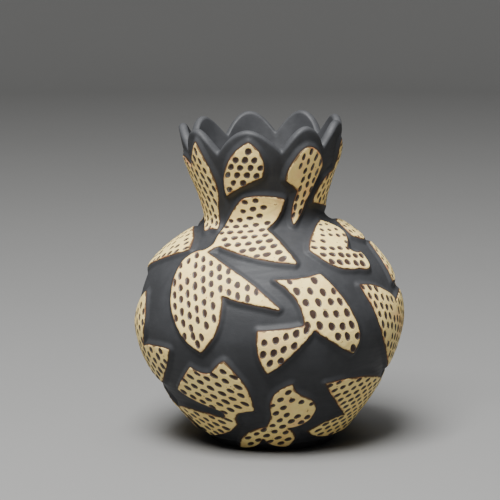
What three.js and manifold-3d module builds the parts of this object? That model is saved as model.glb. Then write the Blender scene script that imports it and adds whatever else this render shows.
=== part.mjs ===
// A black clay pot: a globe-shaped belly on a small flat foot, a narrow neck and a flaring
// collar whose rim is cut in nine scallops. Raised panels of cream slip lie on the wall.
// The pot was built by hand and leans a little, on a foot that is cut level.
// Millimetres, +Z up. The origin is on the ground, on the axis of the pot. The front is -Y.

import * as THREE from 'three';
import Module from 'manifold-3d';
import { ParametricGeometry } from 'three/addons/geometries/ParametricGeometry.js';
import { TessellateModifier } from 'three/addons/modifiers/TessellateModifier.js';
import { mergeVertices } from 'three/addons/utils/BufferGeometryUtils.js';

const wasm = await Module();
wasm.setup();

// ---- Driving dimensions: millimetres, degrees, and distances up the wall from the foot ----

const LEAN = THREE.MathUtils.degToRad(3); // towards -X
const WALL = 4.6; // wall thickness
const FLOOR = 5; // thickness of the floor slab
const JOINT = 151.5; // where the belly ends and the collar begins, in the narrowest of the neck
const RELIEF = 1.8; // height of a panel's face over the black wall
const GAP = 0.3; // clearance between pieces that touch

const PETAL_TOP = 200; // mean height of the petals
const PETAL_WOBBLE = 0.9; // the petals stand higher on one side by this much
const HIGH_SIDE = 195; // azimuth of the side with the highest petals
const PETAL_DEPTH = 12; // from the top of a petal down to the cuts beside it
const CUTS = [-34, 16, 54, 89, 126, 167, 210, 248, 287]; // azimuth of each cut in the rim

const BLACK_CLAY = { color: 0x34363a, roughness: 0.5, metalness: 0 };
const CREAM_SLIP = { color: 0xd8c598, roughness: 0.75, metalness: 0 };

// The black wall's outer face from under the foot to the rim, as [radius, height].
const PROFILE = new THREE.SplineCurve([
  [27.5, -3.5], [36, 5], [44, 14], [51.5, 23.5], [58, 33.5], [63.4, 44], [67.2, 55],
  [68.4, 66.5], [65.8, 78.5], [60.5, 89.5], [52.7, 99], [43.7, 106.8], [36.8, 111],
  [31.8, 114.3], [29.8, 119.3], [30.8, 126], [33.6, 135.5], [37.2, 145.5], [40, 156], [41.7, 168],
].map(([radius, height]) => new THREE.Vector2(radius, height)));
PROFILE.arcLengthDivisions = 1000;
const LENGTH = PROFILE.getLength();

// Rows of the two walls, closer together where the profile bends sharply.
const BELLY_ROWS = [
  0, 10, 20, 29, 38, 47, 55, 63, 71, 79, 87, 95, 103, 111, 119, 127, 134, 139, 143, 146, 149,
];
const INNER_BELLY_ROWS = BELLY_ROWS.filter((row, i) => i % 3 === 0);
const COLLAR_SHARES = [0, 0.09, 0.2, 0.35, 0.5, 0.7, 0.9];
const INNER_COLLAR_SHARES = [0.9, 0.6, 0.3, 0];
// The rounded lip, as [below the rim, into the wall].
const LIP = [[2, 0], [0.6, 0.7], [0, WALL / 2], [0.6, WALL - 0.7], [2, WALL]];
const BELLY_SLICES = 48;
const COLLAR_SLICES = 72;
const CHORD_SAG = 0.25; // how far a panel's flat facets may cut inside its true curve

// ---- Outlines of the panels ----
//
// A panel is drawn flat, as [across, up, bow] from its own centre, clockwise. `bow` is how
// far the edge that leaves the point bulges outwards, in the middle, and 0 is a straight edge.

const OUTLINES = {
  spear: [
    [5.5, 28, 4], [8, -6.5, -1.5], [8.5, -22.5, -1.5], [1, -24.5, 3], [-13, -5, 2],
    [-16, 19, 0.5], [-4.5, 13.5, 0.5],
  ],
  dome: [[4.5, 14, 3.5], [9.5, -5, -0.5], [-10.5, -15.5, 5.5]],
  mitten: [
    [2, 17.5, 2.5], [13, 6.5, 1], [5, -13.5, 1.5], [-2.5, -25.5, 0.5], [-0.5, -6.5, 0],
    [-8, 0, 1], [-4.5, 12.5, 1],
  ],
  feather: [[3, 20, 3], [14, 0, 1], [10.5, -19, -1], [-10, -13, 3.5], [3, 5, 0.5]],
  crown_heart: [
    [-11.5, 12, 3], [1.5, 38, 2], [22, 36.5, 1], [12.5, 20, 0.5], [34, -6, 1.5],
    [-8.5, 6.5, -0.5], [-13.5, 1.5, 2], [28.5, -29.5, 0.5], [-0.5, -22, 4.5],
    [-12, -50.5, 10], [-27.5, -5, 1], [-19, 2.5, -2.5],
  ],
  sail: [[-10, 15, 4], [21.5, 1, 1], [-17, -17, 8]],
  bean: [[6, 20, 8], [4, -2, -2], [11.5, -6.5, 6.5], [1.5, -15, 5], [-19.5, 0, 2.5]],
  leaf: [[5, 11, 3], [26, -1, 2], [3, -6, 0.5], [-6, -0.5, 1]],
  fin: [[2, 10.5, 3], [26, 1, 4], [-7.5, -12, 1]],
  bow_tie: [
    [-14, 24, -1], [10, 25, 1.5], [27, -4.5, 2], [23.5, -17.5, 0.5], [2, -2.5, 1],
    [-21.5, -23.5, 2.5], [-26, -1, -0.5], [-3, 0, -3.5],
  ],
  left_flank: [[-2.5, 26, 6], [-3, -2, 1.5], [25, 0, 2], [1.5, -22.5, 2], [-26, -6, 4]],
  right_flank: [[-24, 18.5, 2.5], [3.5, 5.5, 0], [19, 9, 2.5], [21, -12, 2], [9, -31.5, 8]],
  left_wing: [
    [-3.5, 22, -1.5], [8, 19.5, 0.5], [16.5, 26, 4], [22.5, -4.5, 0], [15, -6, -1.5],
    [10, -15, 2], [-14.5, -28.5, 1], [-31.5, -8.5, 2.5], [3.5, -11, -2.5], [2.5, -5, 1],
    [-19.5, 6, 0],
  ],
  butterfly: [
    [8, 26, -1.5], [14, 16.5, 3], [18, 4, 2.5], [4.5, -4.5, 4], [4.5, -21, 2.5],
    [-7.5, -13, 3.5], [-20, -21, 4.5], [-6, -3, -1], [-3.5, 8.5, 4.5],
  ],
  right_wing: [
    [-19.5, 21, 3.5], [34, 11, 4], [25, -14, 2], [8.5, -20, 3.5], [-16, -12, 1.5], [3, -4.5, 0.5],
  ],
  drop: [[0, 12, 4], [0, -12, 4]],
};

// Where each panel lies: [name, outline, azimuth, distance up the wall, 1 or -1 if mirrored].
const PANELS = [
  ['neck_left', 'spear', -58, 166, 1],
  ['neck_front', 'dome', -14, 180, 1],
  ['neck_right', 'mitten', 32, 172, 1],
  ['neck_side', 'feather', 70, 170, 1],
  ['neck_back_1', 'mitten', 118, 172, -1],
  ['neck_back_2', 'dome', 158, 180, -1],
  ['neck_back_3', 'spear', 218, 167, 1],
  ['neck_back_4', 'mitten', 258, 169, -1],
  ['crown_heart', 'crown_heart', -20, 125, 1],
  ['shoulder_left', 'sail', -77, 126, 1],
  ['bean_right', 'bean', 50, 126, 1],
  ['shoulder_right', 'leaf', 78, 130, 1],
  ['rim_right', 'fin', 82, 110, 1],
  ['crown_heart_back', 'crown_heart', 166, 125, -1],
  ['bean_back', 'bean', 218, 123, -1],
  ['bow_front', 'bow_tie', 17, 87, 1],
  ['flank_left', 'left_flank', -68, 75, 1],
  ['flank_right', 'right_flank', 68, 84, 1],
  ['bow_back_1', 'bow_tie', 121, 83, -1],
  ['bow_back_2', 'bow_tie', 231, 78, 1],
  ['wing_low_left', 'left_wing', -34, 45, 1],
  ['bow_low', 'butterfly', 2, 31, 1],
  ['wing_low_right', 'right_wing', 43, 34, 1],
  ['bow_low_back', 'butterfly', 107, 32, -1],
  ['wing_back_1', 'left_wing', 163, 41, -1],
  ['wing_back_2', 'right_wing', 236, 33, 1],
  ['drop_back', 'drop', 284, 30, 1],
];

// ---- Places on the wall ----

// The [radius, height] of the point `s` up the wall, raised `lift` off the black face.
function wallPoint(s, lift = 0) {
  const share = THREE.MathUtils.clamp(s / LENGTH, 0, 1);
  const foot = PROFILE.getPointAt(share);
  const along = PROFILE.getTangentAt(share);
  return new THREE.Vector2(foot.x + lift * along.y, foot.y - lift * along.x);
}

// The same point turned to an azimuth, which is 0 at the front and grows towards +X.
function onWall(azimuth, s, lift) {
  const { x: radius, y: height } = wallPoint(s, lift);
  return new THREE.Vector3(radius * Math.sin(azimuth), -radius * Math.cos(azimuth), height);
}

// Distance up the wall to the rim: one arch of a sine between each two cuts.
function rimAt(azimuth) {
  const first = CUTS[0];
  const degrees = first + THREE.MathUtils.euclideanModulo(THREE.MathUtils.radToDeg(azimuth) - first, 360);
  const start = CUTS.findLast((cut) => cut <= degrees);
  const end = CUTS.find((cut) => cut > degrees) ?? first + 360;
  const arch = Math.sin((Math.PI * (degrees - start)) / (end - start));
  const top = PETAL_TOP + PETAL_WOBBLE * Math.cos(THREE.MathUtils.degToRad(degrees - HIGH_SIDE));
  return top - PETAL_DEPTH * (1 - arch);
}

// ---- Solids ----

// One closed skin: equal corners are shared, and triangles that shrink to nothing are dropped.
function weld(geometry) {
  geometry.deleteAttribute('normal');
  geometry.deleteAttribute('uv');
  const merged = mergeVertices(geometry, 1e-4);
  const kept = [];
  for (let i = 0; i < merged.index.count; i += 3) {
    const [a, b, c] = [0, 1, 2].map((corner) => merged.index.getX(i + corner));
    if (a !== b && b !== c && c !== a) kept.push(a, b, c);
  }
  merged.setIndex(kept);
  merged.computeVertexNormals();
  return merged;
}

function toSolid(geometry) {
  const skin = weld(geometry);
  const vertProperties = Float32Array.from(skin.attributes.position.array);
  const triVerts = Uint32Array.from(skin.index.array);
  return new wasm.Manifold(new wasm.Mesh({ numProp: 3, vertProperties, triVerts }));
}

function toGeometry(solid) {
  const { vertProperties, triVerts } = solid.getMesh();
  const geometry = new THREE.BufferGeometry();
  geometry.setAttribute('position', new THREE.BufferAttribute(vertProperties, 3));
  geometry.setIndex(new THREE.BufferAttribute(triVerts, 1));
  geometry.computeVertexNormals();
  return geometry;
}

// What lies between two level planes, once the upright shape is leaned over.
function leanAndCut(geometry, low, high) {
  const slab = new THREE.BoxGeometry(300, 300, high - low).translate(0, 0, (low + high) / 2);
  return toGeometry(toSolid(geometry.rotateY(-LEAN)).intersect(toSolid(slab)));
}

// A ring of wall from a closed section. `place(point, azimuth)` gives [s, lift] of a point.
function ring(section, place, slices) {
  const surface = (u, v, target) => {
    const azimuth = 2 * Math.PI * u;
    const [s, lift] = place(section[Math.round(v * section.length) % section.length], azimuth);
    target.copy(onWall(azimuth, s, lift));
  };
  return new ParametricGeometry(surface, slices, section.length);
}

function baseDisc() {
  const side = [0, 8, 16].map((s) => wallPoint(s));
  const outline = [new THREE.Vector2(0, side[0].y), ...side, new THREE.Vector2(0, side[2].y)];
  const plug = new THREE.LatheGeometry(outline, BELLY_SLICES).rotateX(Math.PI / 2);
  return leanAndCut(plug, 0, FLOOR);
}

function bellyWall() {
  const top = JOINT - GAP / 2;
  const outside = [...BELLY_ROWS, top].map((s) => [s, 0]);
  const inside = [top, ...INNER_BELLY_ROWS.toReversed()].map((s) => [s, -WALL]);
  const shell = ring([...outside, ...inside], (point) => point, BELLY_SLICES);
  return leanAndCut(shell, FLOOR + GAP, 200);
}

// The section's points are [share of the way up to the rim, fall below that, lift].
function neckCollar() {
  const foot = JOINT + GAP / 2;
  const section = [
    ...COLLAR_SHARES.map((share) => [share, 0, 0]),
    ...LIP.map(([fall, depth]) => [1, fall, -depth]),
    ...INNER_COLLAR_SHARES.map((share) => [share, 0, -WALL]),
  ];
  const place = ([share, fall, lift], azimuth) => [foot + share * (rimAt(azimuth) - foot) - fall, lift];
  return weld(ring(section, place, COLLAR_SLICES));
}

function flatOutline(corners, side) {
  const shape = new THREE.Shape();
  const points = corners.map(([across, up]) => new THREE.Vector2(side * across, up));
  shape.moveTo(points[0].x, points[0].y);
  corners.forEach(([, , bow], i) => {
    const start = points[i];
    const end = points[(i + 1) % points.length];
    const edge = end.clone().sub(start);
    const outwards = new THREE.Vector2(-edge.y, edge.x).normalize().multiplyScalar(side);
    const handle = start.clone().add(end).multiplyScalar(0.5).addScaledVector(outwards, 2 * bow);
    shape.quadraticCurveTo(handle.x, handle.y, end.x, end.y);
  });
  return shape;
}

// A slab cut to the outline, divided finely enough to bend, and bent on to the wall.
function panel(corners, azimuth, s, side) {
  const slab = new THREE.ExtrudeGeometry(flatOutline(corners, side), {
    depth: RELIEF - GAP,
    bevelEnabled: false,
    curveSegments: 3,
  });
  const narrowest = Math.min(...corners.map(([, up]) => wallPoint(s + up).x));
  const longestEdge = Math.sqrt(8 * CHORD_SAG * narrowest);
  const skin = weld(new TessellateModifier(longestEdge, 12).modify(slab));
  const at = new THREE.Vector3();
  for (let i = 0; i < skin.attributes.position.count; i += 1) {
    at.fromBufferAttribute(skin.attributes.position, i);
    const turned = azimuth + at.x / wallPoint(s + at.y).x;
    skin.attributes.position.setXYZ(i, ...onWall(turned, s + at.y, GAP + at.z));
  }
  skin.computeVertexNormals();
  return skin;
}

function piece(name, geometry, finish) {
  const mesh = new THREE.Mesh(geometry, new THREE.MeshStandardMaterial(finish));
  mesh.name = name;
  return mesh;
}

// ---- The pot ----

const leaning = new THREE.Group();
leaning.rotation.y = -LEAN;
leaning.add(piece('neck_collar', neckCollar(), BLACK_CLAY));
for (const [name, outline, azimuth, s, side] of PANELS) {
  const geometry = panel(OUTLINES[outline], THREE.MathUtils.degToRad(azimuth), s, side);
  leaning.add(piece(name, geometry, CREAM_SLIP));
}

const pot = new THREE.Group();
pot.add(piece('base_disc', baseDisc(), BLACK_CLAY));
pot.add(piece('belly_wall', bellyWall(), BLACK_CLAY));
pot.add(leaning);

export default pot;
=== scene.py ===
"""A black clay pot: globe belly, narrow neck, flaring collar cut in nine petals, and raised
panels of cream slip with rows of scooped dots. Shapes are worked out in millimetres as
functions of two parameters, the azimuth round the pot and the distance up its wall, and are
put into the meshes in metres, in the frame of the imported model."""

import math

import bpy
import numpy as np
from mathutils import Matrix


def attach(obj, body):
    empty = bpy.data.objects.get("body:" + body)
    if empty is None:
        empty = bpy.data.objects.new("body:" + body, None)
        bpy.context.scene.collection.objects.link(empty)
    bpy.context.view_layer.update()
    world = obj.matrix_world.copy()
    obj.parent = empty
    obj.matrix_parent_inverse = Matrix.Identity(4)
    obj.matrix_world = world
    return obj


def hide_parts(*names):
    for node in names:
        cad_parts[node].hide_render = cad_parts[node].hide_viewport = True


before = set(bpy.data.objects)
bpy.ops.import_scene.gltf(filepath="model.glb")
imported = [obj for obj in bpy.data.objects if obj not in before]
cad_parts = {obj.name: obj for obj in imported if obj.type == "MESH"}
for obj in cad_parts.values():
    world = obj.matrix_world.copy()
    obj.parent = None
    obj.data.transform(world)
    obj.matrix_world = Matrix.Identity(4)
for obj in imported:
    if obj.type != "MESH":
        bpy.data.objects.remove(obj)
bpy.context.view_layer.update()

MM = 0.001

# ---- Driving dimensions of the pot, as its CAD model has them: millimetres and degrees ----

LEAN = math.radians(3)  # towards -X
WALL = 4.6  # wall thickness
FLOOR = 5.0  # thickness of the floor slab
JOINT = 151.5  # distance up the wall where belly and collar meet
RELIEF = 1.8  # height of a panel's face over the black wall

PETAL_TOP = 200.0  # distance up the wall to the petals' tops, on average
PETAL_WOBBLE = 0.9  # how far the tops rise and fall round the pot
HIGH_SIDE = 195.0  # azimuth where they are highest
PETAL_DEPTH = 12.0  # from the tops to the bottoms of the cuts
FLUTE_DEPTH = 0.9  # creases that run down from the cuts
FLUTE_WIDTH = 6.5  # degrees
FLUTE_LENGTH = 34.0
# Azimuths of the cuts; the last is the first again.
CUTS = np.array([-34, 16, 54, 89, 126, 167, 210, 248, 287, 326], float)

COLLAR_FLARE = 0.9  # half of how much wider the collar opens towards +X
SHOULDER_FULLNESS = 1.6

# The black wall's outer face from under the foot to the rim, as [radius, height].
PROFILE = np.array([
    [27.5, -3.5], [36, 5], [44, 14], [51.5, 23.5], [58, 33.5], [63.4, 44], [67.2, 55],
    [68.4, 66.5], [65.8, 78.5], [60.5, 89.5], [52.7, 99], [43.7, 106.8], [36.8, 111],
    [31.8, 114.3], [29.8, 119.3], [30.8, 126], [33.6, 135.5], [37.2, 145.5], [40, 156], [41.7, 168],
])

# Panel outlines: [across, up, bow] from the panel's centre, clockwise, as in the CAD model.
OUTLINES = {
    "spear": [
        [5.5, 28, 4], [8, -6.5, -1.5], [8.5, -22.5, -1.5], [1, -24.5, 3], [-13, -5, 2],
        [-16, 19, 0.5], [-4.5, 13.5, 0.5],
    ],
    "dome": [[4.5, 14, 3.5], [9.5, -5, -0.5], [-10.5, -15.5, 5.5]],
    "mitten": [
        [2, 17.5, 2.5], [13, 6.5, 1], [5, -13.5, 1.5], [-2.5, -25.5, 0.5], [-0.5, -6.5, 0],
        [-8, 0, 1], [-4.5, 12.5, 1],
    ],
    "feather": [[3, 20, 3], [14, 0, 1], [10.5, -19, -1], [-10, -13, 3.5], [3, 5, 0.5]],
    "crown_heart": [
        [-11.5, 12, 3], [1.5, 38, 2], [22, 36.5, 1], [12.5, 20, 0.5], [34, -6, 1.5],
        [-8.5, 6.5, -0.5], [-13.5, 1.5, 2], [28.5, -29.5, 0.5], [-0.5, -22, 4.5],
        [-12, -50.5, 10], [-27.5, -5, 1], [-19, 2.5, -2.5],
    ],
    "sail": [[-10, 15, 4], [21.5, 1, 1], [-17, -17, 8]],
    "bean": [[6, 20, 8], [4, -2, -2], [11.5, -6.5, 6.5], [1.5, -15, 5], [-19.5, 0, 2.5]],
    "leaf": [[5, 11, 3], [26, -1, 2], [3, -6, 0.5], [-6, -0.5, 1]],
    "fin": [[2, 10.5, 3], [26, 1, 4], [-7.5, -12, 1]],
    "bow_tie": [
        [-14, 24, -1], [10, 25, 1.5], [27, -4.5, 2], [23.5, -17.5, 0.5], [2, -2.5, 1],
        [-21.5, -23.5, 2.5], [-26, -1, -0.5], [-3, 0, -3.5],
    ],
    "left_flank": [[-2.5, 26, 6], [-3, -2, 1.5], [25, 0, 2], [1.5, -22.5, 2], [-26, -6, 4]],
    "right_flank": [[-24, 18.5, 2.5], [3.5, 5.5, 0], [19, 9, 2.5], [21, -12, 2], [9, -31.5, 8]],
    "left_wing": [
        [-3.5, 22, -1.5], [8, 19.5, 0.5], [16.5, 26, 4], [22.5, -4.5, 0], [15, -6, -1.5],
        [10, -15, 2], [-14.5, -28.5, 1], [-31.5, -8.5, 2.5], [3.5, -11, -2.5], [2.5, -5, 1],
        [-19.5, 6, 0],
    ],
    "butterfly": [
        [8, 26, -1.5], [14, 16.5, 3], [18, 4, 2.5], [4.5, -4.5, 4], [4.5, -21, 2.5],
        [-7.5, -13, 3.5], [-20, -21, 4.5], [-6, -3, -1], [-3.5, 8.5, 4.5],
    ],
    "right_wing": [
        [-19.5, 21, 3.5], [34, 11, 4], [25, -14, 2], [8.5, -20, 3.5], [-16, -12, 1.5], [3, -4.5, 0.5],
    ],
    "drop": [[0, 12, 4], [0, -12, 4]],
}

# Where each panel lies: CAD node, outline, azimuth, distance up the wall, -1 if mirrored.
PANELS = [
    ("neck_left", "spear", -58, 166, 1),
    ("neck_front", "dome", -14, 180, 1),
    ("neck_right", "mitten", 32, 172, 1),
    ("neck_side", "feather", 70, 170, 1),
    ("neck_back_1", "mitten", 118, 172, -1),
    ("neck_back_2", "dome", 158, 180, -1),
    ("neck_back_3", "spear", 218, 167, 1),
    ("neck_back_4", "mitten", 258, 169, -1),
    ("crown_heart", "crown_heart", -20, 125, 1),
    ("shoulder_left", "sail", -77, 126, 1),
    ("bean_right", "bean", 50, 126, 1),
    ("shoulder_right", "leaf", 78, 130, 1),
    ("rim_right", "fin", 82, 110, 1),
    ("crown_heart_back", "crown_heart", 166, 125, -1),
    ("bean_back", "bean", 218, 123, -1),
    ("bow_front", "bow_tie", 17, 87, 1),
    ("flank_left", "left_flank", -68, 75, 1),
    ("flank_right", "right_flank", 68, 84, 1),
    ("bow_back_1", "bow_tie", 121, 83, -1),
    ("bow_back_2", "bow_tie", 231, 78, 1),
    ("wing_low_left", "left_wing", -34, 45, 1),
    ("bow_low", "butterfly", 2, 31, 1),
    ("wing_low_right", "right_wing", 43, 34, 1),
    ("bow_low_back", "butterfly", 107, 32, -1),
    ("wing_back_1", "left_wing", 163, 41, -1),
    ("wing_back_2", "right_wing", 236, 33, 1),
    ("drop_back", "drop", 284, 30, 1),
]

# How each outline's dots are set out: direction of the rows, pitch along and across them,
# half length and half width of a dot, the way it points, how much larger the dots get from
# the panel's middle down to its foot, a bare spot (across, up, radius), and where three dots
# run together at a tip.
DOTS = {
    "spear": dict(rows=102, pitch=(5.0, 3.7), size=(1.95, 0.95), tilt=104, grow=0, bare=None),
    "dome": dict(rows=58, pitch=(4.7, 4.2), size=(1.85, 1.4), tilt=56, grow=0, bare=None),
    "mitten": dict(rows=80, pitch=(5.0, 3.7), size=(1.9, 0.85), tilt=78, grow=0, bare=(-9, 3, 8.5)),
    "feather": dict(rows=70, pitch=(4.8, 3.6), size=(1.7, 0.95), tilt=72, grow=0, bare=None),
    "crown": dict(rows=8, pitch=(5.1, 4.7), size=(1.9, 1.65), tilt=4, grow=0.3, bare=(17, 33, 6)),
    "heart": dict(
        rows=101, pitch=(5.7, 4.4), size=(1.95, 1.3), tilt=103, grow=0, bare=None, tip=(-12.8, -45.6),
    ),
    "sail": dict(rows=30, pitch=(5.0, 4.6), size=(1.5, 1.35), tilt=20, grow=0.25, bare=None),
    "bean": dict(rows=-12, pitch=(4.9, 4.7), size=(1.6, 1.4), tilt=-6, grow=0.4, bare=(-4, 2, 2.5)),
    "leaf": dict(rows=-8, pitch=(4.7, 4.3), size=(1.35, 1.2), tilt=0, grow=0, bare=None),
    "fin": dict(rows=10, pitch=(4.9, 4.4), size=(1.45, 1.2), tilt=10, grow=0, bare=None),
    "bow_wing": dict(rows=116, pitch=(6.5, 5.3), size=(2.1, 1.55), tilt=116, grow=0, bare=(1, 22, 3.2)),
    "bow_tail": dict(rows=12, pitch=(5.3, 5.2), size=(1.85, 1.5), tilt=66, grow=0, bare=None),
    "left_flank": dict(rows=96, pitch=(5.4, 5.0), size=(1.75, 1.6), tilt=98, grow=0.15, bare=None),
    "right_flank": dict(rows=108, pitch=(5.4, 3.9), size=(1.9, 1.1), tilt=108, grow=0, bare=None),
    "left_wing": dict(rows=-30, pitch=(5.9, 4.5), size=(2.05, 1.28), tilt=-30, grow=0, bare=None),
    "butterfly": dict(rows=44, pitch=(5.3, 4.8), size=(1.75, 1.3), tilt=42, grow=0, bare=(11, 9, 3.5)),
    "right_wing": dict(rows=12, pitch=(5.0, 4.1), size=(1.8, 1.08), tilt=14, grow=0, bare=None),
    "drop": dict(rows=80, pitch=(5.0, 4.2), size=(1.7, 1.2), tilt=84, grow=0, bare=None),
}

# Outlines of two lobes: the recipe where a * across + b * up is over c, the one where it
# isn't, and a, b and c.
LOBES = {
    "crown_heart": ("crown", "heart", (0.35, 1.0, -0.9)),
    "bow_tie": ("bow_wing", "bow_tail", (0.9, 1.0, -3.0)),
}

# ---- Colours ----

CLAY_DARK = (0.033, 0.034, 0.0365, 1)
CLAY_GREY = (0.046, 0.0475, 0.051, 1)
# lighter clay for the lip: partly real rubbing, partly a painted highlight
CLAY_WORN_SHEEN = (0.052, 0.0535, 0.057, 1)
SLIP_PALE = (0.98, 0.77, 0.30, 1)
SLIP_BUFF = (0.92, 0.66, 0.23, 1)
SLIP_PEACH = (0.92, 0.52, 0.24, 1)
SLIP_TAN = (0.50, 0.33, 0.15, 1)
SLIP_SCORCHED = (0.46, 0.21, 0.09, 1)
SLIP_RUST = (0.22, 0.09, 0.035, 1)
EDGE_BROWN = (0.055, 0.024, 0.011, 1)
DOT_BROWN = (0.062, 0.034, 0.019, 1)
DOT_DARK = (0.055, 0.050, 0.046, 1)
# painted sheen: a grey that lightens the dots' floors in place of reflected light
DOT_SHEEN_GREY = (0.20, 0.19, 0.18, 1)

# ---- How finely things are worked ----

COLUMNS = 560  # round the pot
BELLY_ROWS = 158
COLLAR_ROWS = 54
INNER_ROWS = 14  # up the inner face
LIP_ROWS = 9  # over the half-round lip
FOOT_HEIGHTS = (1.1, 2.0, 3.2, 4.2, FLOOR)  # the lowest rows, over the ground
FOOT_ROUND = 1.3  # how far in the foot's rounded edge runs
SLIP_GRID = 0.4  # spacing of a panel's grid
EDGE_STEP = 0.6  # spacing of the points along a panel's outline
BED = 1.45  # how high the black clay swells under a panel
SWELL = 3.0  # how far that swelling runs out from the panel's edge
PANEL_FOOT = 0.8  # how high a panel's hidden underside lies
EDGE_FALL = 0.3  # how far a panel's face falls away at its edge
EDGE_ROUND = 0.8  # over this width
DOT_DEPTH = 0.5
MISSED_DOTS = 0.012  # share of the dots left out
LIP_ROUND = 2.1  # height of the lip's rounding
FAR_FROM_PANELS = 12.0  # stands for any greater distance
FAR_FROM_DOTS = 4.0
BLOCK = 6000  # points measured against an outline at a time


# ---- Small numeric tools ----

def smoothstep(low, high, value):
    """0 below low, 1 above high, and 3t^2 - 2t^3 between them."""
    t = np.clip((value - low) / (high - low), 0, 1)
    return t * t * (3 - 2 * t)


def blur(values, sigma, closed):
    """Each value becomes the mean of its neighbours, weighted by a bell curve `sigma` wide."""
    reach = int(math.ceil(3 * sigma))
    weights = np.exp(-0.5 * (np.arange(-reach, reach + 1) / sigma) ** 2)
    weights /= weights.sum()
    mode = "wrap" if closed else "reflect"
    odd = {} if closed else {"reflect_type": "odd"}
    padded = np.pad(values, [(reach, reach)] + [(0, 0)] * (values.ndim - 1), mode=mode, **odd)
    stacked = np.lib.stride_tricks.sliding_window_view(padded, 2 * reach + 1, axis=0)
    return stacked @ weights


def along_path(points, step, closed):
    """The same path with its points `step` apart."""
    path = np.concatenate([points, points[:1]]) if closed else points
    run = np.concatenate([[0], np.cumsum(np.linalg.norm(np.diff(path, axis=0), axis=1))])
    count = max(int(round(run[-1] / step)), 8)
    at = np.linspace(0, run[-1], count, endpoint=False) if closed else np.linspace(0, run[-1], count + 1)
    return np.stack([np.interp(at, run, path[:, 0]), np.interp(at, run, path[:, 1])], axis=1)


# ---- The wall ----

def wall_table():
    """The profile as a table of distance, radius, height and outward normal: a Catmull-Rom
    curve through PROFILE, laid out in even steps and smoothed a little, as a hand on a slow
    wheel leaves it."""
    spans = len(PROFILE) - 1
    p = np.linspace(0, spans, 60 * spans + 1)
    i = np.minimum(p.astype(int), spans - 1)
    t = (p - i)[:, None]
    before, start = PROFILE[np.maximum(i - 1, 0)], PROFILE[i]
    end, after = PROFILE[i + 1], PROFILE[np.minimum(i + 2, spans)]
    pull_in, pull_out = (end - before) / 2, (after - start) / 2
    curve = (2 * start - 2 * end + pull_in + pull_out) * t ** 3
    curve += (3 * end - 3 * start - 2 * pull_in - pull_out) * t ** 2 + pull_in * t + start
    even = along_path(curve, 0.25, closed=False)
    distance = np.concatenate([[0], np.cumsum(np.linalg.norm(np.diff(even, axis=0), axis=1))])
    smooth = blur(even, 6, closed=False)
    direction = np.gradient(smooth, distance, axis=0)
    direction /= np.linalg.norm(direction, axis=1, keepdims=True)
    return distance, smooth[:, 0], smooth[:, 1], direction[:, 1], -direction[:, 0]


WALL_S, WALL_R, WALL_Z, NORMAL_R, NORMAL_Z = wall_table()


def radius_at(s):
    return np.interp(s, WALL_S, WALL_R)


def unevenness(azimuth, s):
    """What coiling and paddling by hand leave: a few slow waves round and up the wall, which
    fade out at the level foot, a collar that opens a little wider towards +X, and a fuller
    shoulder towards -X."""
    waves = 0.30 * np.sin(2 * azimuth + 0.021 * s + 0.6)
    waves += 0.20 * np.sin(3 * azimuth - 0.034 * s + 2.1)
    waves += 0.10 * np.sin(7 * azimuth + 0.05 * s + 4.0) * np.sin(0.11 * s + azimuth)
    waves += 0.06 * np.sin(0.42 * s + 1.5 * np.sin(azimuth))
    flare = COLLAR_FLARE * smoothstep(150, 198, s) * (1 + np.sin(azimuth))
    shoulder = SHOULDER_FULLNESS * np.exp(-((s - 114) / 13) ** 2) * smoothstep(0.3, 1, -np.sin(azimuth))
    return waves * smoothstep(4, 30, s) + flare + shoulder


def place(azimuth, s, lift):
    """A point of the pot: out along the wall's normal by `lift` from the profile point at
    distance `s`, turned to `azimuth` (0 at -Y, growing to +X), then leaned."""
    out = lift + unevenness(azimuth, s)
    r = np.interp(s, WALL_S, WALL_R) + out * np.interp(s, WALL_S, NORMAL_R)
    z = np.interp(s, WALL_S, WALL_Z) + out * np.interp(s, WALL_S, NORMAL_Z)
    x, y = r * np.sin(azimuth), -r * np.cos(azimuth)
    lean_x = x * math.cos(LEAN) - z * math.sin(LEAN)
    lean_z = x * math.sin(LEAN) + z * math.cos(LEAN)
    return np.stack([lean_x, y, lean_z], axis=-1)


def distance_at_height(azimuth, height, lift):
    """The distance up the wall at which the leaning wall passes a level plane, by a few
    steps of Newton's rule."""
    s = np.full_like(azimuth, 8.0)
    for _ in range(6):
        here = place(azimuth, s, lift)[:, 2]
        slope = (place(azimuth, s + 0.1, lift)[:, 2] - here) / 0.1
        s = s + (height - here) / slope
    return s


def rim_line(azimuth):
    """Distance up the wall to the rim: one arch of a sine between each two cuts, with the
    cuts' bottoms softened by a wet finger."""
    degrees = (np.degrees(azimuth) - CUTS[0]) % 360 + CUTS[0]
    petal = np.searchsorted(CUTS, degrees, side="right") - 1
    arch = np.sin(np.pi * (degrees - CUTS[petal]) / (CUTS[petal + 1] - CUTS[petal]))
    top = PETAL_TOP + PETAL_WOBBLE * np.cos(np.radians(degrees - HIGH_SIDE))
    return blur(top - PETAL_DEPTH * (1 - arch), 1.6, closed=True)


def flutes(azimuth, s, rim):
    """Shallow creases that run down the collar from the cuts: a bell across each cut, fading
    from near the rim to nothing FLUTE_LENGTH below it."""
    degrees = (np.degrees(azimuth) - CUTS[0]) % 360 + CUTS[0]
    nearest = np.min(np.abs(degrees[..., None] - CUTS), axis=-1)
    return -FLUTE_DEPTH * np.exp(-(nearest / FLUTE_WIDTH) ** 2) * smoothstep(-FLUTE_LENGTH, -6, s - rim)


# ---- Outlines and distances to them ----

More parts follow.
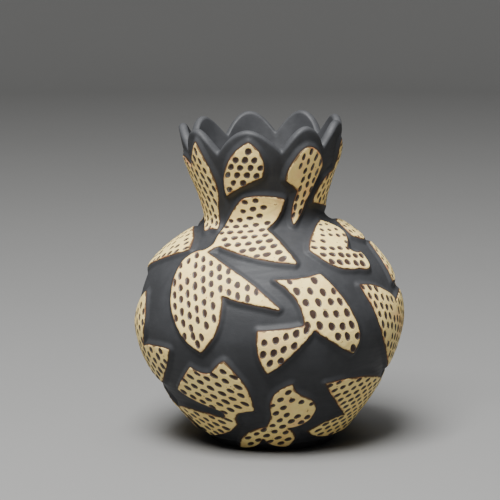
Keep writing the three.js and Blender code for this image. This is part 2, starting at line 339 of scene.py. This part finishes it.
def outline_loop(name, side, rng):
    """A panel's outline as a closed loop: each edge is a parabola through its bow, corners
    are rounded by a small blur, and the line wavers as a knife does."""
    corners = np.array(OUTLINES[name], float)
    start = corners[:, :2] * [side, 1]
    end = np.roll(start, -1, axis=0)
    edge = end - start
    outwards = np.stack([-edge[:, 1], edge[:, 0]], axis=1) * side
    outwards /= np.linalg.norm(edge, axis=1, keepdims=True)
    handle = (start + end) / 2 + 2 * corners[:, 2:] * outwards
    t = np.linspace(0, 1, 24, endpoint=False)[:, None, None]
    path = (1 - t) ** 2 * start + 2 * t * (1 - t) * handle + t ** 2 * end
    loop = along_path(path.transpose(1, 0, 2).reshape(-1, 2), 0.15, closed=True)
    loop = blur(loop, 3, closed=True)
    waver = blur(rng.normal(size=len(loop)), 26, closed=True)
    waver *= 0.13 / waver.std()
    ahead = np.roll(loop, -1, axis=0) - np.roll(loop, 1, axis=0)
    sideways = np.stack([-ahead[:, 1], ahead[:, 0]], axis=1)
    sideways /= np.linalg.norm(sideways, axis=1, keepdims=True)
    loop = loop + waver[:, None] * sideways
    return along_path(loop, EDGE_STEP, closed=True)


def to_outline(points, loop):
    """Signed distance from each point to the loop, negative inside, and the nearest point on
    it: the least distance to any segment, with a crossing count for the sign."""
    start, step = loop, np.roll(loop, -1, axis=0) - loop
    length2 = (step ** 2).sum(axis=1)
    distance = np.empty(len(points))
    nearest = np.empty_like(points)
    for low in range(0, len(points), BLOCK):
        block = points[low:low + BLOCK]
        away = block[:, None, :] - start[None, :, :]
        t = np.clip((away * step).sum(axis=2) / length2, 0, 1)
        gap = away - t[:, :, None] * step
        gap2 = (gap ** 2).sum(axis=2)
        best = gap2.argmin(axis=1)
        rows = np.arange(len(block))
        above = away[:, :, 1] < 0
        next_above = np.roll(above, -1, axis=1)
        cross = step[:, 0] * away[:, :, 1] - step[:, 1] * away[:, :, 0]
        crossing = (above != next_above) & ((cross > 0) == (step[:, 1] < 0))
        inside = crossing.sum(axis=1) % 2 == 1
        distance[low:low + BLOCK] = np.sqrt(gap2[rows, best]) * np.where(inside, -1, 1)
        nearest[low:low + BLOCK] = block - gap[rows, best]
    return distance, nearest


def local_points(azimuth, s, panel):
    """Places on the wall as [across, up] from a panel's centre."""
    _, _, centre, height, _ = panel
    turn = (azimuth - math.radians(centre) + math.pi) % (2 * math.pi) - math.pi
    return np.stack([turn * radius_at(s), s - height], axis=-1)


def distance_to_panels(azimuth, s, loops):
    """Signed distance from places on the wall to the nearest panel, and FAR_FROM_PANELS away from all."""
    nearest = np.full(s.shape, FAR_FROM_PANELS)
    for panel, loop in zip(PANELS, loops):
        at = local_points(azimuth, s, panel)
        low, high = loop.min(axis=0) - 7, loop.max(axis=0) + 7
        close = ((at > low) & (at < high)).all(axis=-1)
        distance, _ = to_outline(at[close], loop)
        nearest[close] = np.minimum(nearest[close], distance)
    return nearest


# ---- Meshes ----

def make_piece(name, points, polygons, material, fields=None, normals=None):
    """A mesh from arrays: points in millimetres, polygons as arrays of corner numbers of 3
    or 4 columns, and float values for each point by name."""
    mesh = bpy.data.meshes.new(name)
    mesh.vertices.add(len(points))
    mesh.vertices.foreach_set("co", (points * MM).astype(np.float32).ravel())
    corners = np.concatenate([part.ravel() for part in polygons]).astype(np.int32)
    totals = np.concatenate([np.full(len(part), part.shape[1]) for part in polygons])
    mesh.loops.add(len(corners))
    mesh.loops.foreach_set("vertex_index", corners)
    mesh.polygons.add(len(totals))
    mesh.polygons.foreach_set("loop_start", np.concatenate([[0], np.cumsum(totals)[:-1]]).astype(np.int32))
    mesh.update(calc_edges=True)
    mesh.validate()
    mesh.shade_smooth()
    for field, values in (fields or {}).items():
        layer = mesh.attributes.new(field, "FLOAT", "POINT")
        layer.data.foreach_set("value", values.astype(np.float32))
    if normals is not None:
        mesh.normals_split_custom_set_from_vertices(normals.tolist())
    mesh.materials.append(material)
    piece = bpy.data.objects.new(name, mesh)
    bpy.context.collection.objects.link(piece)
    return piece


def ring_quads(rows, columns, closed_section):
    """Quads of a grid that closes round the pot, and up its section too where asked."""
    last = rows if closed_section else rows - 1
    row, column = np.meshgrid(np.arange(last), np.arange(columns), indexing="ij")
    up, right = (row + 1) % rows, (column + 1) % columns
    low, high = row * columns, up * columns
    quads = np.stack([low + column, low + right, high + right, high + column], -1)
    return quads.reshape(-1, 4)


def grid_normals(points):
    """Normals of a grid that closes round the pot: up-the-wall crossed with along-the-row."""
    along = np.roll(points, -1, axis=1) - np.roll(points, 1, axis=1)
    up = np.gradient(points, axis=0)
    normal = np.cross(along, up)
    return normal / np.linalg.norm(normal, axis=2, keepdims=True)


def outer_skin(loops):
    """The black wall's whole outer face as one grid of rows, from just above the ground to
    the start of the lip: places, signed distance to the panels, points and normals."""
    azimuth = np.linspace(0, 2 * math.pi, COLUMNS, endpoint=False)
    rim = rim_line(azimuth)
    foot = [distance_at_height(azimuth, height, 0) for height in FOOT_HEIGHTS]
    belly = np.linspace(0, 1, BELLY_ROWS + 1)[1:, None] * (JOINT - foot[-1]) + foot[-1]
    collar = np.linspace(0, 1, COLLAR_ROWS + 1)[1:, None] * (rim - LIP_ROUND - JOINT) + JOINT
    s = np.concatenate([np.stack(foot), belly, collar])
    around = np.broadcast_to(azimuth, s.shape)
    panel_gap = distance_to_panels(around, s, loops)
    lift = BED * (1 - smoothstep(0, SWELL, panel_gap)) + flutes(around, s, rim)
    points = place(around, s, lift)
    normals = grid_normals(points)
    return dict(azimuth=azimuth, rim=rim, s=s, gap=panel_gap, points=points, normals=normals)


def add_base(skin, clay):
    """The floor slab: a level underside, an edge rounded by a quarter circle, the foot of
    the wall, and a level top inside, closed at both middles."""
    foot = skin["points"][:len(FOOT_HEIGHTS)]
    middle = foot[0].mean(axis=0) * [1, 1, 0]
    inwards = (middle - foot[0]) * [1, 1, 0]
    inwards /= np.linalg.norm(inwards, axis=1, keepdims=True)
    bend = np.radians([90, 67, 45, 22])[:, None, None]
    height = FOOT_HEIGHTS[0]
    corner = foot[0] + FOOT_ROUND * (1 - np.cos(bend)) * inwards
    corner[..., 2] = height - height * np.sin(bend[..., 0])
    shares = np.array([0.002, 0.35, 0.7, 0.9])[:, None, None]
    under = middle + shares * (corner[0] - middle)
    shares_in = np.array([0.985, 0.7, 0.35, 0.002])[:, None, None]
    inside = middle + shares_in * (foot[-1] * [1, 1, 0] - middle) + [0, 0, FLOOR]
    rows = np.concatenate([under, corner, foot, inside])
    grid = rows.reshape(-1, 3)
    count = len(rows)
    caps = np.array([[middle[0], middle[1], 0], [middle[0], middle[1], FLOOR]])
    points = np.concatenate([grid, caps])
    column = np.arange(COLUMNS)
    right = (column + 1) % COLUMNS
    low_fan = np.stack([np.full(COLUMNS, count * COLUMNS), right, column], -1)
    first = (count - 1) * COLUMNS
    high_fan = np.stack([np.full(COLUMNS, count * COLUMNS + 1), first + column, first + right], -1)
    quads = ring_quads(count, COLUMNS, closed_section=False)
    gap = np.full(len(points), FAR_FROM_PANELS)
    low = (len(under) + len(corner)) * COLUMNS
    gap[low:low + foot[..., 0].size] = skin["gap"][:len(FOOT_HEIGHTS)].ravel()
    fields = {"panel_gap": gap, "lip": np.zeros(len(points))}
    piece = make_piece("foot_slab", points, [quads, low_fan, high_fan], clay, fields)
    finish_piece(piece, "base_disc")


def add_belly(skin, clay):
    """The globe wall as a closed ring: the outer face, the seam at the neck, the smooth
    inner face one wall's thickness in, and the level seam on the floor slab."""
    azimuth = skin["azimuth"]
    first, last = len(FOOT_HEIGHTS) - 1, len(FOOT_HEIGHTS) + BELLY_ROWS
    outside = skin["points"][first:last]
    low = distance_at_height(azimuth, FLOOR, -WALL)
    s = np.linspace(1, 0, INNER_ROWS)[:, None] * (JOINT - low) + low
    around = np.broadcast_to(azimuth, s.shape)
    inside = place(around, s, -WALL)
    points = np.concatenate([outside, inside])
    gap = np.concatenate([skin["gap"][first:last], np.full(s.shape, FAR_FROM_PANELS)])
    normals = np.concatenate([skin["normals"][first:last], -grid_normals(inside[::-1])[::-1]])
    quads = ring_quads(len(points), COLUMNS, closed_section=True)
    fields = {"panel_gap": gap.ravel(), "lip": np.zeros(gap.size)}
    piece = make_piece("globe_wall", points.reshape(-1, 3), [quads], clay, fields, normals.reshape(-1, 3))
    finish_piece(piece, "belly_wall")


def add_collar(skin, clay):
    """The flaring collar as a closed ring: the outer face, a half-round lip that follows the
    petals, the inner face, and the seam at the neck."""
    azimuth, rim = skin["azimuth"], skin["rim"]
    first = len(FOOT_HEIGHTS) + BELLY_ROWS - 1
    outside = skin["points"][first:]
    bend = np.linspace(0, math.pi, LIP_ROWS + 2)[1:-1, None]
    s = rim - LIP_ROUND * (1 - np.sin(bend))
    around = np.broadcast_to(azimuth, s.shape)
    lift = -WALL / 2 * (1 - np.cos(bend)) + flutes(around, s, rim)
    lip = place(around, s, lift)
    s_in = np.linspace(1, 0, INNER_ROWS)[:, None] * (rim - LIP_ROUND - JOINT) + JOINT
    around_in = np.broadcast_to(azimuth, s_in.shape)
    inside = place(around_in, s_in, -WALL + flutes(around_in, s_in, rim))
    points = np.concatenate([outside, lip, inside])
    # lip mask for the lightened clay: partly real rubbing, partly a painted highlight
    worn_and_sheen = [smoothstep(-5, 0.5, skin["s"][first:] - rim), np.ones(s.shape), smoothstep(-5, 0.5, s_in - rim)]
    plain = np.full((len(lip) + len(inside), COLUMNS), FAR_FROM_PANELS)
    gap = np.concatenate([skin["gap"][first:], plain])
    normals = grid_normals(points)
    normals[0] = skin["normals"][first]
    quads = ring_quads(len(points), COLUMNS, closed_section=True)
    fields = {"panel_gap": gap.ravel(), "lip": np.concatenate(worn_and_sheen).ravel()}
    piece = make_piece("petal_collar", points.reshape(-1, 3), [quads], clay, fields, normals.reshape(-1, 3))
    finish_piece(piece, "neck_collar")


# ---- Slip panels ----

def dot_centres(recipe, loop, rng):
    """Staggered rows across the panel, each dot a little off its mark. Of a few starting
    places for the rows, the one that gets the most dots inside the outline is taken. Gives
    the dots' centres and how far each is scaled down to fit near the edge."""
    low, high = loop.min(axis=0), loop.max(axis=0)
    reach = np.linalg.norm(high - low) / 2 + 8
    pitch, rise = recipe["pitch"]
    along, across = np.arange(-reach, reach, pitch), np.arange(-reach, reach, rise)
    a, c = np.meshgrid(along, across)
    a = a + np.where(np.arange(len(across)) % 2, 0, pitch / 2)[:, None]
    c = c + 0.4 * np.sin(a / 9 + rng.uniform(0, 6)) + rng.normal(0, 0.04 * rise, c.shape)
    a = a + rng.normal(0, 0.045 * pitch, a.shape)
    turn = math.radians(recipe["rows"])
    width = recipe["size"][1]
    best, most = None, -1.0
    for start_a, start_c in ((i / 4 * pitch, j / 4 * rise) for i in range(4) for j in range(4)):
        u = (low + high)[0] / 2 + (a + start_a) * math.cos(turn) - (c + start_c) * math.sin(turn)
        v = (low + high)[1] / 2 + (a + start_a) * math.sin(turn) + (c + start_c) * math.cos(turn)
        centres = np.stack([u.ravel(), v.ravel()], axis=1)
        centres = centres[((centres > low) & (centres < high)).all(axis=1)]
        inset = -to_outline(centres, loop)[0]
        room = smoothstep(0.5 * width, 1.5 * width, inset).sum()
        if room > most:
            fits = inset > 0.72 * width + 0.1
            best, most = (centres[fits], inset[fits]), room
    centres, inset = best
    if "tip" in recipe:
        tip_u, tip_v = recipe["tip"]
        huddle = np.array([[tip_u - 2.4, tip_v + 3.6], [tip_u + 2.4, tip_v + 3.4], [tip_u, tip_v]])
        clear = np.linalg.norm(centres[:, None] - huddle, axis=2).min(axis=1) > 3.8
        centres = np.concatenate([centres[clear], huddle])
        inset = np.concatenate([inset[clear], np.full(3, 3.0)])
    keep = rng.uniform(size=len(centres)) > MISSED_DOTS
    if recipe["bare"]:
        bare_u, bare_v, bare_r = recipe["bare"]
        keep &= np.hypot(centres[:, 0] - bare_u, centres[:, 1] - bare_v) > bare_r
    return centres[keep], np.clip(0.35 + 0.5 * inset[keep] / width, 0.72, 1)


def dot_distance(points, centres, shrink, recipe, rng):
    """Signed distance to the nearest dot's rim, negative inside: for an oval with half axes
    a and b, with k = |(x/a, y/b)|, it is close to k(k - 1) / |(x/a^2, y/b^2)|."""
    nearest = np.full(len(points), FAR_FROM_DOTS)
    count = len(centres)
    grow = shrink * (1 - recipe["grow"] * centres[:, 1] / (np.abs(points[:, 1]).max() + 1))
    long_half = recipe["size"][0] * rng.uniform(0.88, 1.1, count) * grow
    short_half = recipe["size"][1] * rng.uniform(0.88, 1.1, count) * grow
    tilt = np.radians(recipe["tilt"] + rng.normal(0, 5, count))
    lump = rng.uniform(0, 2 * math.pi, count)
    for i in range(count):
        away = points - centres[i]
        close = (np.abs(away) < 5).all(axis=1)
        x = away[close, 0] * math.cos(tilt[i]) + away[close, 1] * math.sin(tilt[i])
        y = -away[close, 0] * math.sin(tilt[i]) + away[close, 1] * math.cos(tilt[i])
        swell = 1 + 0.04 * np.sin(3 * np.arctan2(y, x) + lump[i])
        a, b = long_half[i] * swell, short_half[i] * swell
        k = np.hypot(x / a, y / b)
        steep = np.maximum(np.hypot(x / a ** 2, y / b ** 2), 1e-6)
        nearest[close] = np.minimum(nearest[close], np.where(k < 1e-3, -b, k * (k - 1) / steep))
    return nearest


def mirrored(recipe, side):
    """The recipe as it reads on a mirrored panel."""
    if side > 0:
        return recipe
    bare = recipe["bare"] and (-recipe["bare"][0], *recipe["bare"][1:])
    turned = dict(recipe, rows=180 - recipe["rows"], tilt=180 - recipe["tilt"], bare=bare)
    if "tip" in recipe:
        turned["tip"] = (-recipe["tip"][0], recipe["tip"][1])
    return turned


def dots_of_panel(outline, side, points, loop, rng):
    """Signed distance to the dots of a panel. An outline of two lobes has its own rows in
    each of them, on either side of a straight line."""
    upper, lower, (a, b, c) = LOBES.get(outline, (outline, None, (0, 0, -1)))
    nearest = np.full(len(points), FAR_FROM_DOTS)
    for part, above in ((upper, True), (lower, False)):
        if part is None:
            continue
        recipe = mirrored(DOTS[part], side)
        centres, shrink = dot_centres(recipe, loop, rng)
        here = (a * side * centres[:, 0] + b * centres[:, 1] > c) == above
        nearest = np.minimum(nearest, dot_distance(points, centres[here], shrink[here], recipe, rng))
    return nearest


def panel_grid(loop):
    """A flat grid cut to the outline. Points within half a step of the line move on to it,
    and cells with three or four points left become the faces."""
    low, high = loop.min(axis=0) - SLIP_GRID, loop.max(axis=0) + SLIP_GRID
    u, v = np.arange(low[0], high[0], SLIP_GRID), np.arange(low[1], high[1], SLIP_GRID)
    columns = len(u)
    points = np.stack(np.meshgrid(u, v), axis=-1).reshape(-1, 2)
    distance, nearest = to_outline(points, loop)
    kept = distance < SLIP_GRID / 2
    on_line = kept & (distance > -SLIP_GRID / 2)
    points[on_line] = nearest[on_line]
    distance[on_line] = 0
    cell = np.arange(len(points)).reshape(len(v), columns)[:-1, :-1].ravel()
    corners = np.stack([cell, cell + 1, cell + 1 + columns, cell + columns], axis=1)
    present = kept[corners]
    solid = (present & ~on_line[corners]).any(axis=1)
    quads = corners[present.all(axis=1) & solid]
    partial = (present.sum(axis=1) == 3) & solid
    missing = present[partial].argmin(axis=1)
    order = (missing[:, None] + np.array([1, 2, 3])) % 4
    tris = np.take_along_axis(corners[partial], order, axis=1)
    used = np.zeros(len(points), bool)
    used[quads.ravel()] = True
    used[tris.ravel()] = True
    number = np.cumsum(used) - 1
    return points[used], -distance[used], number[quads], number[tris]


def open_edges(polygons):
    """The directed edges that only one polygon has."""
    edges = np.concatenate([np.stack([p, np.roll(p, -1, axis=1)], axis=-1).reshape(-1, 2) for p in polygons])
    size = edges.max() + 1
    forward = edges[:, 0] * size + edges[:, 1]
    backward = edges[:, 1] * size + edges[:, 0]
    return edges[~np.isin(forward, backward)]


def add_panel(panel, loop, slip, rng):
    """One panel as a closed slab: a face that falls away at the edge and is scooped at each
    dot, an upright edge, and an underside that lies inside the swelling of the black clay."""
    name, outline, centre, height, side = panel
    flat, inset, quads, tris = panel_grid(loop)
    dot = dots_of_panel(outline, side, flat, loop, rng)
    s = height + flat[:, 1]
    azimuth = math.radians(centre) + flat[:, 0] / radius_at(s)
    fall = EDGE_FALL * (1 - np.clip(inset / EDGE_ROUND, 0, 1)) ** 2
    scoop = DOT_DEPTH * smoothstep(0.05, -0.55, dot)
    hump = 0.05 * np.sin(flat[:, 0] * 0.9 + 1.3 * np.sin(flat[:, 1] * 0.7)) * np.sin(flat[:, 1] * 0.8)
    face = place(azimuth, s, RELIEF - fall - scoop + hump)
    under = place(azimuth, s, np.full(len(s), PANEL_FOOT))
    count = len(face)
    edge = open_edges([quads, tris])
    skirt = np.stack([edge[:, 1], edge[:, 0], edge[:, 0] + count, edge[:, 1] + count], axis=1)
    polygons = [quads, tris, skirt, quads[:, ::-1] + count, tris[:, ::-1] + count]
    fields = {
        "dot_gap": np.concatenate([dot, np.full(count, FAR_FROM_DOTS)]),
        "inset": np.concatenate([inset, np.zeros(count)]),
    }
    piece = make_piece("slip_" + name, np.concatenate([face, under]), polygons, slip, fields)
    finish_piece(piece, name)


def finish_piece(piece, node):
    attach(piece, "root")
    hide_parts(node)


# ---- Materials ----

def add_node(tree, kind, inputs=None, **settings):
    """A shader node with its settings, and its inputs by name as values or as sockets."""
    node = tree.nodes.new(kind)
    for setting, value in settings.items():
        setattr(node, setting, value)
    for key, value in (inputs or {}).items():
        socket = node.inputs[key]
        if isinstance(value, bpy.types.NodeSocket):
            tree.links.new(value, socket)
        else:
            socket.default_value = value
    return node


def new_group(name, inputs, outputs):
    tree = bpy.data.node_groups.new(name, "ShaderNodeTree")
    for label, kind in inputs:
        tree.interface.new_socket(label, in_out="INPUT", socket_type=kind)
    for label, kind in outputs:
        tree.interface.new_socket(label, in_out="OUTPUT", socket_type=kind)
    return tree, tree.nodes.new("NodeGroupInput").outputs, tree.nodes.new("NodeGroupOutput").inputs


def mix_colour(tree, share, first, second, blend="MIX"):
    node = add_node(tree, "ShaderNodeMix", data_type="RGBA", blend_type=blend)
    for socket, value in ((node.inputs[0], share), (node.inputs[6], first), (node.inputs[7], second)):
        if isinstance(value, bpy.types.NodeSocket):
            tree.links.new(value, socket)
        else:
            socket.default_value = value
    return node.outputs[2]


def ramp_value(tree, value, low, high, to_low=0.0, to_high=1.0):
    """Smooth rescaling of a value from one range to another."""
    inputs = {"Value": value, "From Min": low, "From Max": high, "To Min": to_low, "To Max": to_high}
    return add_node(tree, "ShaderNodeMapRange", inputs, interpolation_type="SMOOTHSTEP").outputs["Result"]


def maths(tree, operation, first, second=0.0):
    return add_node(tree, "ShaderNodeMath", {0: first, 1: second}, operation=operation).outputs[0]


def noise(tree, place_on, scale, detail=3.0, rough=0.55):
    inputs = {"Vector": place_on, "Scale": scale, "Detail": detail, "Roughness": rough}
    return add_node(tree, "ShaderNodeTexNoise", inputs).outputs["Fac"]


def cloudy_group():
    """Cloudy patches in a colour: two sizes of noise pull it towards a second colour."""
    tree, given, out = new_group(
        "cloudy tone",
        [("Place", "NodeSocketVector"), ("Colour", "NodeSocketColor"), ("Cloud", "NodeSocketColor"),
         ("Scale", "NodeSocketFloat"), ("Amount", "NodeSocketFloat")],
        [("Colour", "NodeSocketColor"), ("Mask", "NodeSocketFloat")],
    )
    broad = noise(tree, given["Place"], given["Scale"], 4.0)
    fine = noise(tree, given["Place"], maths(tree, "MULTIPLY", given["Scale"], 5.3), 3.0)
    both = maths(tree, "ADD", maths(tree, "MULTIPLY", broad, 0.65), maths(tree, "MULTIPLY", fine, 0.35))
    mask = ramp_value(tree, both, 0.38, 0.64)
    tree.links.new(mask, out["Mask"])
    share = maths(tree, "MULTIPLY", mask, given["Amount"])
    tree.links.new(mix_colour(tree, share, given["Colour"], given["Cloud"]), out["Colour"])
    return tree


def tooth_group():
    """The tooth of the clay as a height: fine grain, coarser lumps, and strokes drawn out
    round the pot."""
    tree, given, out = new_group(
        "clay tooth",
        [("Place", "NodeSocketVector"), ("Grain", "NodeSocketFloat"), ("Strokes", "NodeSocketFloat")],
        [("Height", "NodeSocketFloat"), ("Stroke", "NodeSocketFloat")],
    )
    grain = maths(tree, "MULTIPLY", noise(tree, given["Place"], 1500.0, 2.0), given["Grain"])
    lumps = maths(tree, "MULTIPLY", noise(tree, given["Place"], 210.0, 3.0), 0.9)
    squeeze = {"Vector": given["Place"], "Scale": (1.0, 1.0, 9.0)}
    flattened = add_node(tree, "ShaderNodeMapping", squeeze).outputs[0]
    stroke = noise(tree, flattened, 75.0, 3.0, 0.6)
    strokes = maths(tree, "MULTIPLY", stroke, given["Strokes"])
    tree.links.new(maths(tree, "ADD", maths(tree, "ADD", grain, lumps), strokes), out["Height"])
    tree.links.new(stroke, out["Stroke"])
    return tree


def field(tree, name):
    return add_node(tree, "ShaderNodeAttribute", attribute_name=name).outputs["Fac"]


def new_material(name):
    material = bpy.data.materials.new(name)
    material.use_nodes = True
    tree = material.node_tree
    tree.nodes.clear()
    shader = tree.nodes.new("ShaderNodeBsdfPrincipled")
    output = tree.nodes.new("ShaderNodeOutputMaterial")
    tree.links.new(shader.outputs[0], output.inputs[0])
    place_on = tree.nodes.new("ShaderNodeTexCoord").outputs["Object"]
    return material, tree, shader, place_on


def black_clay(cloudy, tooth):
    """Smoked clay, burnished in strokes: near black with cloudy grey, lighter on the lip from real
    rubbing and partly a painted highlight, with a brown stain where it meets the slip."""
    material, tree, shader, place_on = new_material("black_clay")
    tone = add_node(tree, "ShaderNodeGroup", node_tree=cloudy)
    for key, value in (("Colour", CLAY_DARK), ("Cloud", CLAY_GREY), ("Scale", 42.0), ("Amount", 0.75)):
        tone.inputs[key].default_value = value
    tree.links.new(place_on, tone.inputs["Place"])
    surface = add_node(tree, "ShaderNodeGroup", node_tree=tooth)
    surface.inputs["Grain"].default_value = 0.35
    surface.inputs["Strokes"].default_value = 0.15
    tree.links.new(place_on, surface.inputs["Place"])
    lip = field(tree, "lip")
    # lip lightening in patches: partly real rubbing, partly a painted highlight
    rubbed_and_sheen = ramp_value(tree, noise(tree, place_on, 160.0), 0.35, 0.65, 0.25, 0.8)
    worn_and_sheen = maths(tree, "MULTIPLY", lip, rubbed_and_sheen)
    colour = mix_colour(tree, worn_and_sheen, tone.outputs["Colour"], CLAY_WORN_SHEEN)
    gap = field(tree, "panel_gap")
    stain = ramp_value(tree, gap, 0.75, 0.15, 0.0, 0.7)
    colour = mix_colour(tree, stain, colour, EDGE_BROWN)
    tree.links.new(colour, shader.inputs["Base Color"])
    gloss = ramp_value(tree, surface.outputs["Stroke"], 0.3, 0.7, 0.50, 0.60)
    rough = maths(tree, "ADD", gloss, maths(tree, "MULTIPLY", tone.outputs["Mask"], 0.05))
    tree.links.new(rough, shader.inputs["Roughness"])
    relief = {"Strength": 0.32, "Distance": 0.0004, "Height": surface.outputs["Height"]}
    bump = add_node(tree, "ShaderNodeBump", relief)
    tree.links.new(bump.outputs[0], shader.inputs["Normal"])
    shader.inputs["Specular IOR Level"].default_value = 0.22
    return material


def cream_slip(cloudy, tooth):
    """Cream slip brushed over the clay: cloudy and warm, browned at the edge, flecked with
    rust, and cut through at each dot to the dark clay, with a brown ring round the cut; the
    dots' floors are mottled with a grey that is a painted sheen."""
    material, tree, shader, place_on = new_material("cream_slip")
    tone = add_node(tree, "ShaderNodeGroup", node_tree=cloudy)
    for key, value in (("Colour", SLIP_PALE), ("Cloud", SLIP_BUFF), ("Scale", 85.0), ("Amount", 0.8)):
        tone.inputs[key].default_value = value
    tree.links.new(place_on, tone.inputs["Place"])
    surface = add_node(tree, "ShaderNodeGroup", node_tree=tooth)
    surface.inputs["Grain"].default_value = 0.9
    surface.inputs["Strokes"].default_value = 0.5
    tree.links.new(place_on, surface.inputs["Place"])
    blush = ramp_value(tree, noise(tree, place_on, 55.0, 2.0), 0.56, 0.72, 0.0, 0.5)
    colour = mix_colour(tree, blush, tone.outputs["Colour"], SLIP_PEACH)
    fleck = ramp_value(tree, noise(tree, place_on, 620.0, 1.0, 0.4), 0.70, 0.76, 0.0, 0.75)
    colour = mix_colour(tree, fleck, colour, SLIP_RUST)
    inset = field(tree, "inset")
    waver = ramp_value(tree, noise(tree, place_on, 260.0, 2.0), 0.3, 0.7, -0.35, 0.35)
    browned = maths(tree, "ADD", inset, waver)
    tan_edge = ramp_value(tree, browned, 1.3, 0.5, 0.0, 0.4)
    colour = mix_colour(tree, tan_edge, colour, SLIP_TAN)
    dark_edge = ramp_value(tree, browned, 0.5, 0.2, 0.0, 0.92)
    colour = mix_colour(tree, dark_edge, colour, EDGE_BROWN)
    to_dot = maths(tree, "MAXIMUM", field(tree, "dot_gap"), 0.0)
    pinched = ramp_value(tree, maths(tree, "ADD", inset, to_dot), 2.4, 0.8)
    bloom = maths(tree, "MULTIPLY", pinched, ramp_value(tree, noise(tree, place_on, 95.0), 0.42, 0.62))
    colour = mix_colour(tree, maths(tree, "MULTIPLY", bloom, 0.7), colour, SLIP_SCORCHED)
    ragged = ramp_value(tree, noise(tree, place_on, 700.0, 2.0), 0.3, 0.7, -0.06, 0.06)
    dot = maths(tree, "ADD", field(tree, "dot_gap"), ragged)
    ring = ramp_value(tree, dot, 0.24, 0.0)
    colour = mix_colour(tree, ring, colour, DOT_BROWN)
    floor = ramp_value(tree, dot, -0.05, -0.32)
    # painted sheen: noise mottles the dots' floors from dark clay towards a grey standing in for reflected
    # light
    floor_tone_sheen = mix_colour(tree, noise(tree, place_on, 500.0, 2.0), DOT_DARK, DOT_SHEEN_GREY)
    colour = mix_colour(tree, floor, colour, floor_tone_sheen)
    tree.links.new(colour, shader.inputs["Base Color"])
    matt = ramp_value(tree, tone.outputs["Mask"], 0.0, 1.0, 0.5, 0.66)
    rough = add_node(tree, "ShaderNodeMix", {0: floor, 3: 0.4}, data_type="FLOAT")
    tree.links.new(matt, rough.inputs[2])
    tree.links.new(rough.outputs[0], shader.inputs["Roughness"])
    shader.inputs["Specular IOR Level"].default_value = 0.3
    relief = {"Strength": 0.35, "Distance": 0.0004, "Height": surface.outputs["Height"]}
    bump = add_node(tree, "ShaderNodeBump", relief)
    tree.links.new(bump.outputs[0], shader.inputs["Normal"])
    return material


# ---- Floor, light and camera ----

def stage_material(name, tint, rough):
    material, tree, shader, place_on = new_material(name)
    shade = add_node(tree, "ShaderNodeTexNoise", {"Vector": place_on, "Scale": 6.0, "Detail": 2.0})
    darker = tuple(0.97 * part for part in tint[:3]) + (1,)
    tree.links.new(mix_colour(tree, shade.outputs["Fac"], tint, darker), shader.inputs["Base Color"])
    shader.inputs["Roughness"].default_value = rough
    return material


def add_sweep():
    """A round studio sweep: a level floor that turns up in a quarter circle, all the way
    round, into a wall."""
    flat, bend, top, sides = 1.9, 0.8, 3.0, 96
    turn = np.linspace(0, math.pi / 2, 25)
    radius = np.concatenate([[0.02, 0.3, 1.0], flat + bend * np.sin(turn), [flat + bend]])
    height = np.concatenate([[0.0, 0.0, 0.0], bend * (1 - np.cos(turn)), [top]])
    round_it = np.linspace(0, 2 * math.pi, sides, endpoint=False)
    ring = np.stack([np.sin(round_it), -np.cos(round_it), np.zeros(sides)], axis=1)
    points = radius[:, None, None] * ring + height[:, None, None] * np.array([0.0, 0.0, 1.0])
    middle = np.zeros((1, 3))
    around = np.arange(sides)
    hub = np.full(sides, len(radius) * sides)
    fan = np.stack([around, (around + 1) % sides, hub], axis=1)
    quads = ring_quads(len(radius), sides, closed_section=False)
    paper = stage_material("sweep_paper", (0.19, 0.19, 0.186, 1), 0.8)
    corners = np.concatenate([points.reshape(-1, 3), middle]) / MM
    make_piece("studio_sweep", corners, [quads, fan], paper)


def add_light(name, place_at, aim, size, power):
    light = bpy.data.lights.new(name, "AREA")
    light.shape = "RECTANGLE"
    light.size, light.size_y = size
    light.energy = power
    lamp = bpy.data.objects.new(name, light)
    lamp.location = place_at
    look = np.array(aim, float) - np.array(place_at, float)
    flat = math.hypot(look[0], look[1])
    lamp.rotation_euler = (math.atan2(flat, -look[2]), 0, math.atan2(-look[0], look[1]))
    bpy.context.collection.objects.link(lamp)


def add_camera():
    """In front of the pot and above its rim, looking down 9 degrees."""
    camera = bpy.data.cameras.new("camera")
    camera.sensor_width = 36
    camera.lens = 183.2
    camera.shift_x = -0.04
    view = bpy.data.objects.new("camera", camera)
    view.location = (-0.0032, -1.3, 0.3044)
    view.rotation_euler = (math.radians(90 - 9), 0, 0)
    bpy.context.collection.objects.link(view)
    bpy.context.scene.camera = view


def add_studio():
    add_sweep()
    add_light("key_softbox", (-0.22, -0.6, 1.3), (0, 0, 0.08), (0.7, 0.7), 56)
    add_light("overhead", (0.0, 0.0, 2.6), (0, 0, 0.1), (2.2, 2.2), 30)
    world = bpy.data.worlds.new("studio")
    world.use_nodes = True
    world.node_tree.nodes["Background"].inputs[0].default_value = (0.80, 0.80, 0.80, 1)
    world.node_tree.nodes["Background"].inputs[1].default_value = 0.2
    bpy.context.scene.world = world


# ---- The pot ----

add_camera()
add_studio()
cloudy_tone, clay_tooth = cloudy_group(), tooth_group()
clay_finish = black_clay(cloudy_tone, clay_tooth)
slip_finish = cream_slip(cloudy_tone, clay_tooth)

panel_loops = [
    outline_loop(outline, side, np.random.default_rng(100 + number))
    for number, (_, outline, _, _, side) in enumerate(PANELS)
]
wall_skin = outer_skin(panel_loops)
add_base(wall_skin, clay_finish)
add_belly(wall_skin, clay_finish)
add_collar(wall_skin, clay_finish)
for number, (one_panel, one_loop) in enumerate(zip(PANELS, panel_loops)):
    add_panel(one_panel, one_loop, slip_finish, np.random.default_rng(500 + number))
